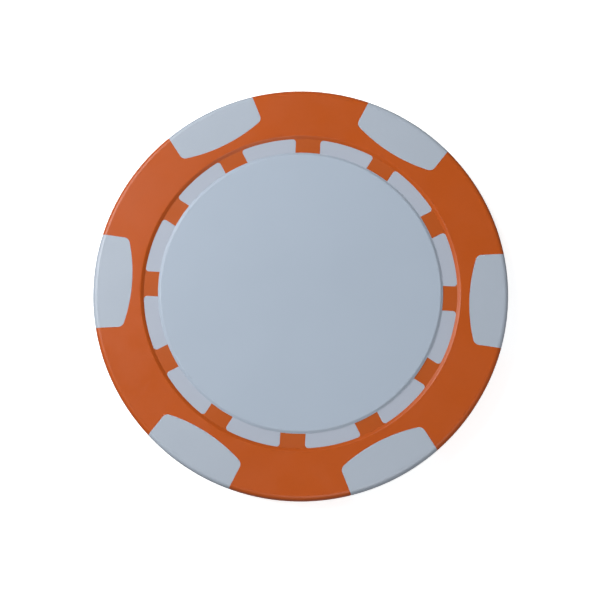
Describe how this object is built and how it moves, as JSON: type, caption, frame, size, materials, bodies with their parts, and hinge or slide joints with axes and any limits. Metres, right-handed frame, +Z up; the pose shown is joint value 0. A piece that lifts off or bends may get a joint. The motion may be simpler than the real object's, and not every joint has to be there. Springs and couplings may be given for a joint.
{
  "type": "ball marker",
  "caption": "Flat round chip-style golf ball marker: white and orange moulded plastic over a steel weight, with edge spots, toothed grooves and blank centre labels.",
  "frame": {"origin": "centre of the chip's underside, on the surface that it lies on", "axes": "+Z up through the chip's thickness, along its axis; +X through the middle of an edge spot; +Y completes a right-handed frame and passes midway between edge spots"},
  "size_m": [0.04, 0.04, 0.0034],
  "materials": {
    "moulded_white": "satin injection-moulded ABS, cool white, with a fine moulded grain",
    "moulded_orange": "satin injection-moulded ABS, deep orange, with a fine moulded grain",
    "label_white": "blank printable vinyl, cool white, smooth satin",
    "weight_steel": "punched and deburred sheet steel"
  },
  "bodies": {
    "root": {"steel_slug": "weight_steel", "white_core": "moulded_white", "orange_rim": "moulded_orange", "front_label": "label_white", "back_label": "label_white"}
  },
  "joints": []
}
